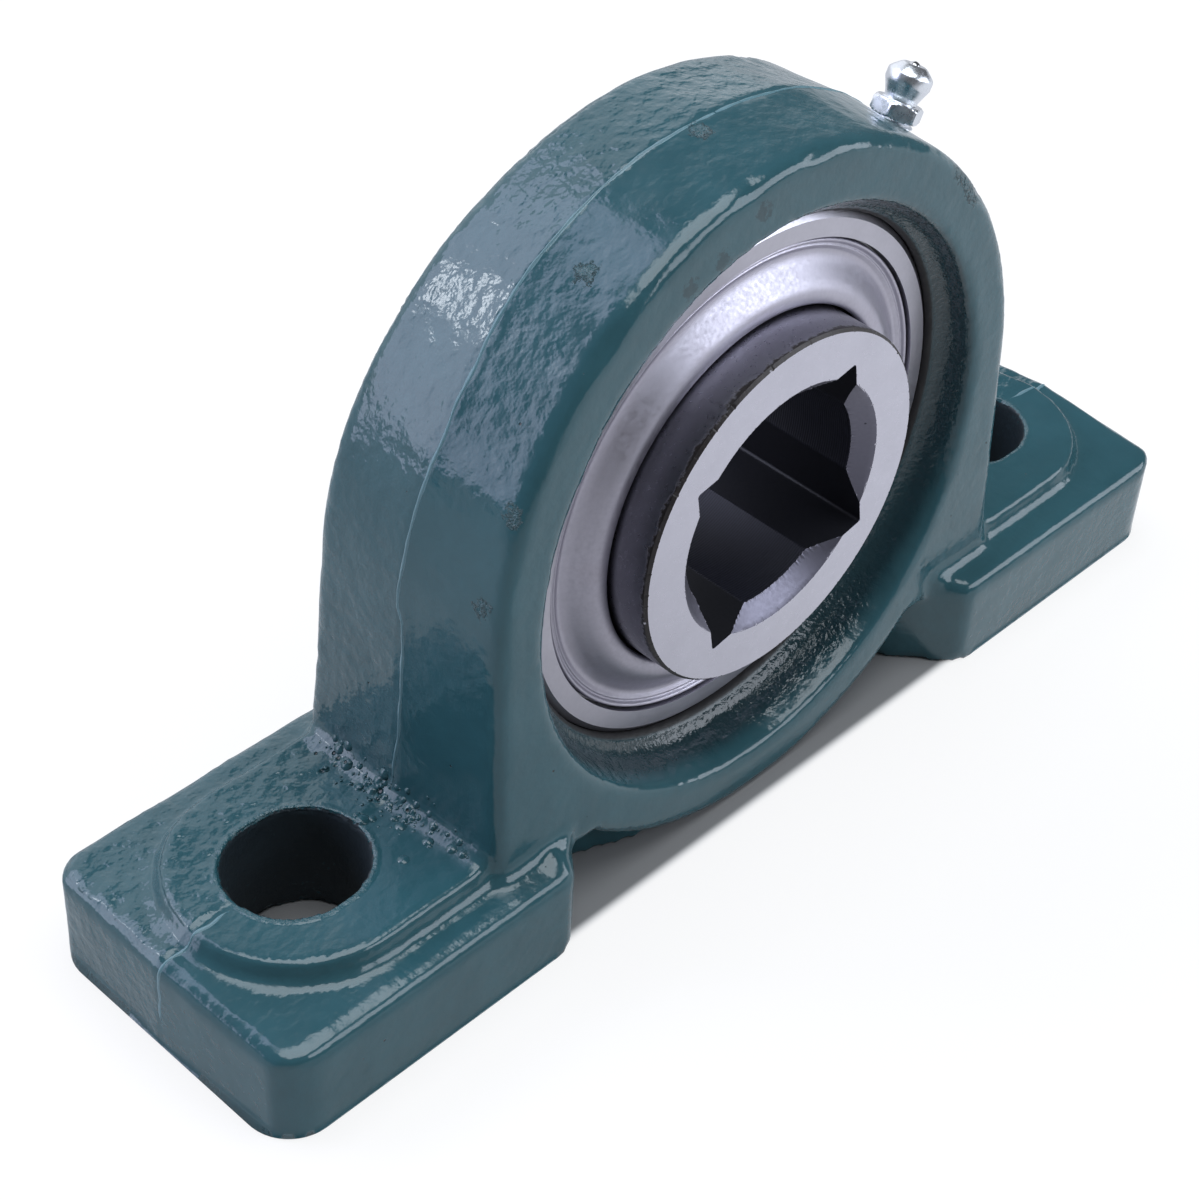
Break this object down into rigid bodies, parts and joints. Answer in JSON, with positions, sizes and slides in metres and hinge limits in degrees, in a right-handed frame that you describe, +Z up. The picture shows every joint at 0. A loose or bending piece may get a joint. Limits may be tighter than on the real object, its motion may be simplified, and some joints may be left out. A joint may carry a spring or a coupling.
{
  "type": "pillow block bearing",
  "caption": "Green painted cast-iron pillow block with a sealed square-bore ball bearing insert and a grease fitting",
  "frame": {"origin": "centre of the base's underside, below the shaft axis", "axes": "+X along the foot, +Y along the shaft to the rear, +Z up from the base"},
  "size_m": [0.182, 0.0472, 0.1001],
  "materials": {
    "cast_paint": "glossy blue-green enamel over rough sand-cast iron",
    "ground_steel": "fine turned and ground",
    "blackened_steel": "dark hardened steel with bright turned faces",
    "bearing_steel": "polished",
    "shroud_steel": "satin, pressed",
    "cage_steel": "pressed strip, dull",
    "spring_steel": "drawn wire",
    "zinc_steel": "bright zinc plated",
    "seal_rubber": "moulded"
  },
  "bodies": {
    "root": {"housing": "cast_paint", "grease_fitting_body": "zinc_steel", "grease_fitting_spring": "spring_steel"},
    "check_ball": {"grease_fitting_ball": "bearing_steel"},
    "insert": {"outer_ring": "ground_steel", "seal_core_front": "cage_steel", "seal_core_back": "cage_steel", "seal_lips_front": "seal_rubber", "seal_lips_back": "seal_rubber", "seal_shroud_front": "shroud_steel", "seal_shroud_back": "shroud_steel"},
    "shaft_ring": {"inner_ring": "blackened_steel"},
    "cage": {"cage_front": "cage_steel", "cage_back": "cage_steel", "cage_rivets": "cage_steel"},
    "rolling_ball_1": {"ball_1": "bearing_steel"},
    "rolling_ball_2": {"ball_2": "bearing_steel"},
    "rolling_ball_3": {"ball_3": "bearing_steel"},
    "rolling_ball_4": {"ball_4": "bearing_steel"},
    "rolling_ball_5": {"ball_5": "bearing_steel"},
    "rolling_ball_6": {"ball_6": "bearing_steel"},
    "rolling_ball_7": {"ball_7": "bearing_steel"},
    "rolling_ball_8": {"ball_8": "bearing_steel"},
    "rolling_ball_9": {"ball_9": "bearing_steel"}
  },
  "joints": [
    {"name": "self_align", "type": "hinge", "parent": "root", "child": "insert", "pos_m": [0, 0, 0.0492], "axis": [1, 0, 0], "range_deg": [-2, 2]},
    {"name": "shaft_spin", "type": "hinge", "parent": "insert", "child": "shaft_ring", "pos_m": [0, 0, 0.0492], "axis": [0, 1, 0], "continuous": true},
    {"name": "cage_spin", "type": "hinge", "parent": "insert", "child": "cage", "pos_m": [0, 0, 0.0492], "axis": [0, 1, 0], "continuous": true},
    {"name": "ball_1_spin", "type": "hinge", "parent": "cage", "child": "rolling_ball_1", "pos_m": [0, 0, 0.0792], "axis": [0, 1, 0], "continuous": true},
    {"name": "ball_2_spin", "type": "hinge", "parent": "cage", "child": "rolling_ball_2", "pos_m": [-0.01928, 0, 0.07218], "axis": [0, 1, 0], "continuous": true},
    {"name": "ball_3_spin", "type": "hinge", "parent": "cage", "child": "rolling_ball_3", "pos_m": [-0.02954, 0, 0.05441], "axis": [0, 1, 0], "continuous": true},
    {"name": "ball_4_spin", "type": "hinge", "parent": "cage", "child": "rolling_ball_4", "pos_m": [-0.02598, 0, 0.0342], "axis": [0, 1, 0], "continuous": true},
    {"name": "ball_5_spin", "type": "hinge", "parent": "cage", "child": "rolling_ball_5", "pos_m": [-0.01026, 0, 0.02101], "axis": [0, 1, 0], "continuous": true},
    {"name": "ball_6_spin", "type": "hinge", "parent": "cage", "child": "rolling_ball_6", "pos_m": [0.01026, 0, 0.02101], "axis": [0, 1, 0], "continuous": true},
    {"name": "ball_7_spin", "type": "hinge", "parent": "cage", "child": "rolling_ball_7", "pos_m": [0.02598, 0, 0.0342], "axis": [0, 1, 0], "continuous": true},
    {"name": "ball_8_spin", "type": "hinge", "parent": "cage", "child": "rolling_ball_8", "pos_m": [0.02954, 0, 0.05441], "axis": [0, 1, 0], "continuous": true},
    {"name": "ball_9_spin", "type": "hinge", "parent": "cage", "child": "rolling_ball_9", "pos_m": [0.01928, 0, 0.07218], "axis": [0, 1, 0], "continuous": true},
    {"name": "check_ball_slide", "type": "slide", "parent": "root", "child": "check_ball", "axis": [-0.4384, 0, -0.8988], "range_m": [0, 0.0006], "stiffness_N_per_m": 300, "springref_m": -0.002, "deforming": ["grease_fitting_spring"]}
  ],
  "couplings": [
    {"joint": "cage_spin", "follows": "shaft_spin", "ratio": 0.4},
    {"joint": "ball_1_spin", "follows": "shaft_spin", "ratio": -2.4},
    {"joint": "ball_2_spin", "follows": "shaft_spin", "ratio": -2.4},
    {"joint": "ball_3_spin", "follows": "shaft_spin", "ratio": -2.4},
    {"joint": "ball_4_spin", "follows": "shaft_spin", "ratio": -2.4},
    {"joint": "ball_5_spin", "follows": "shaft_spin", "ratio": -2.4},
    {"joint": "ball_6_spin", "follows": "shaft_spin", "ratio": -2.4},
    {"joint": "ball_7_spin", "follows": "shaft_spin", "ratio": -2.4},
    {"joint": "ball_8_spin", "follows": "shaft_spin", "ratio": -2.4},
    {"joint": "ball_9_spin", "follows": "shaft_spin", "ratio": -2.4}
  ]
}
